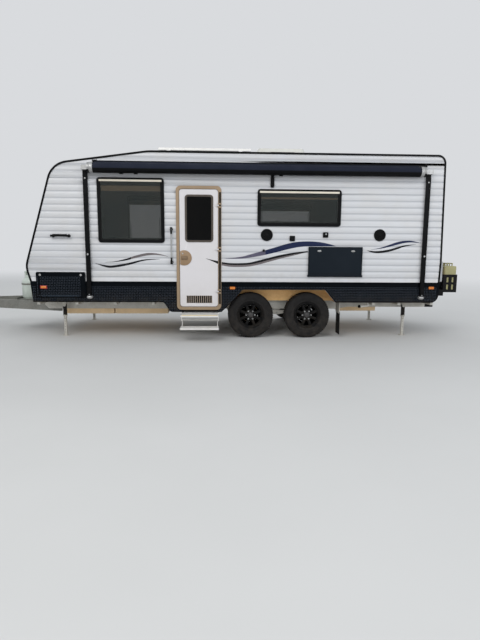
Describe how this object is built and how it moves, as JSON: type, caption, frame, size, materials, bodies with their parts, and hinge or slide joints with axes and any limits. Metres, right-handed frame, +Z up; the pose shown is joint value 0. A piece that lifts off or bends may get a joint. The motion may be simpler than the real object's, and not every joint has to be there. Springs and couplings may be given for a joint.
{
  "type": "travel caravan",
  "caption": "Tandem-axle travel caravan with ribbed white walls, black skirt, entry door and step, rolled awning, drop-down legs, jockey wheel and ball coupling.",
  "frame": {"origin": "centre of the ball socket in the coupling head", "axes": "+X rearwards along the caravan, +Z up, -Y towards the entrance side"},
  "size_m": [8.571, 2.801, 3.132],
  "materials": {
    "body_white": "satin white composite cladding",
    "chequer_black": "black powder-coated chequer plate",
    "trim_black": "black powder-coated extrusion",
    "galvanised": "hot-dip galvanised",
    "black_steel": "satin black paint",
    "alloy_black": "black alloy with machined edges",
    "tyre": "road tyre",
    "window_glass": "tinted acrylic",
    "black_plastic": "fine grained",
    "white_plastic": "weathered white",
    "bronze_frame": "bronze anodised",
    "door_white": "satin",
    "step_aluminium": "mill finish",
    "rubber": "matte",
    "awning_fabric": "coated weave",
    "gas_paint": "pale enamel",
    "can_plastic": "moulded",
    "tank_plastic": "ribbed guard",
    "pvc_white": "pipe",
    "lamp_lens": "lens",
    "ply_light": "laminated ply",
    "table_grey": "charcoal",
    "solar_glass": "glazed cells"
  },
  "bodies": {
    "caravan": {"wall_front": "body_white", "roof": "body_white", "wall_rear": "body_white", "floor": "ply_light", "bed_base": "ply_light", "wall_left": "body_white", "wall_right": "body_white", "wall_cladding": "body_white", "edge_trims": "trim_black", "skirts": "chequer_black", "wheel_boxes": "black_plastic", "window_frames": "trim_black", "window_panes": "window_glass", "door_frame": "bronze_frame", "boot_frames": "trim_black", "table_tray": "table_grey", "rails": "galvanised", "joists": "galvanised", "drawbar": "galvanised", "gas_cylinders": "gas_paint", "coupling": "black_steel", "jockey_sleeve": "galvanised", "water_tanks": "tank_plastic", "waste_pipe": "pvc_white", "axles": "black_steel", "leaf_springs": "black_steel", "underframe_brackets": "galvanised", "mud_flaps": "rubber", "awning_roll": "awning_fabric", "awning_frame": "black_steel", "wall_fittings": "black_plastic", "lamps": "lamp_lens", "solar_panels": "solar_glass", "roof_units": "white_plastic", "rear_carrier": "black_steel", "fuel_cans": "can_plastic", "spare_tyre": "tyre", "spare_rim": "alloy_black"},
    "wheel_front_left": {"rim_front_left": "alloy_black", "tyre_front_left": "tyre"},
    "wheel_front_right": {"rim_front_right": "alloy_black", "tyre_front_right": "tyre"},
    "wheel_rear_left": {"rim_rear_left": "alloy_black", "tyre_rear_left": "tyre"},
    "wheel_rear_right": {"rim_rear_right": "alloy_black", "tyre_rear_right": "tyre"},
    "door": {"door_leaf": "door_white", "door_glass": "window_glass"},
    "boot_left": {"boot_door_left": "chequer_black"},
    "boot_right": {"boot_door_right": "chequer_black"},
    "table": {"picnic_table": "table_grey"},
    "leg_front_left_arm": {"leg_front_left": "galvanised"},
    "leg_front_right_arm": {"leg_front_right": "galvanised"},
    "leg_rear_left_arm": {"leg_rear_left": "galvanised"},
    "leg_rear_right_arm": {"leg_rear_right": "galvanised"},
    "step_slider": {"step_carriage": "step_aluminium"},
    "step_lower": {"step_tread": "step_aluminium"},
    "jockey_swivel": {"jockey_stem": "galvanised"},
    "jockey_roller": {"jockey_wheel": "rubber"},
    "hatch": {"hatch_lid": "white_plastic"}
  },
  "joints": [
    {"name": "wheel_front_left_spin", "type": "hinge", "parent": "caravan", "child": "wheel_front_left", "pos_m": [5.13, -1.03, -0.1035], "axis": [0, 1, 0], "continuous": true},
    {"name": "wheel_front_right_spin", "type": "hinge", "parent": "caravan", "child": "wheel_front_right", "pos_m": [5.13, 1.03, -0.1035], "axis": [0, 1, 0], "continuous": true},
    {"name": "wheel_rear_left_spin", "type": "hinge", "parent": "caravan", "child": "wheel_rear_left", "pos_m": [6.05, -1.03, -0.1035], "axis": [0, 1, 0], "continuous": true},
    {"name": "wheel_rear_right_spin", "type": "hinge", "parent": "caravan", "child": "wheel_rear_right", "pos_m": [6.05, 1.03, -0.1035], "axis": [0, 1, 0], "continuous": true},
    {"name": "door_hinge", "type": "hinge", "parent": "caravan", "child": "door", "pos_m": [4.606, -1.228, 0.955], "axis": [0, 0, 1], "range_deg": [0, 165]},
    {"name": "boot_left_hinge", "type": "hinge", "parent": "caravan", "child": "boot_left", "pos_m": [2.1575, -1.234, 0.204], "axis": [1, 0, 0], "range_deg": [0, 100]},
    {"name": "boot_right_hinge", "type": "hinge", "parent": "caravan", "child": "boot_right", "pos_m": [2.1575, 1.234, 0.204], "axis": [-1, 0, 0], "range_deg": [0, 100]},
    {"name": "table_hinge", "type": "hinge", "parent": "caravan", "child": "table", "pos_m": [6.46, -1.229, 0.54], "axis": [1, 0, 0], "range_deg": [0, 90]},
    {"name": "leg_front_left_fold", "type": "hinge", "parent": "caravan", "child": "leg_front_left_arm", "pos_m": [2.105, -0.905, 0.03], "axis": [0, -1, 0], "range_deg": [0, 90]},
    {"name": "leg_front_right_fold", "type": "hinge", "parent": "caravan", "child": "leg_front_right_arm", "pos_m": [2.105, 0.905, 0.03], "axis": [0, -1, 0], "range_deg": [0, 90]},
    {"name": "leg_rear_left_fold", "type": "hinge", "parent": "caravan", "child": "leg_rear_left_arm", "pos_m": [7.715, -0.905, 0.03], "axis": [0, 1, 0], "range_deg": [0, 90]},
    {"name": "leg_rear_right_fold", "type": "hinge", "parent": "caravan", "child": "leg_rear_right_arm", "pos_m": [7.715, 0.905, 0.03], "axis": [0, 1, 0], "range_deg": [0, 90]},
    {"name": "step_slide", "type": "slide", "parent": "caravan", "child": "step_slider", "axis": [0, 1, 0], "range_m": [0, 0.3]},
    {"name": "step_fold", "type": "hinge", "parent": "step_slider", "child": "step_lower", "pos_m": [4.319, -1.252, -0.158], "axis": [-1, 0, 0], "range_deg": [0, 22]},
    {"name": "jockey_turn", "type": "hinge", "parent": "caravan", "child": "jockey_swivel", "pos_m": [0.46, -0.255, 0], "axis": [0, 0, 1], "continuous": true},
    {"name": "jockey_spin", "type": "hinge", "parent": "jockey_swivel", "child": "jockey_roller", "pos_m": [0.522, -0.255, -0.365], "axis": [0, 1, 0], "continuous": true},
    {"name": "hatch_hinge", "type": "hinge", "parent": "caravan", "child": "hatch", "pos_m": [7.036, 0, 2.475], "axis": [0, -1, 0], "range_deg": [0, 60]}
  ]
}
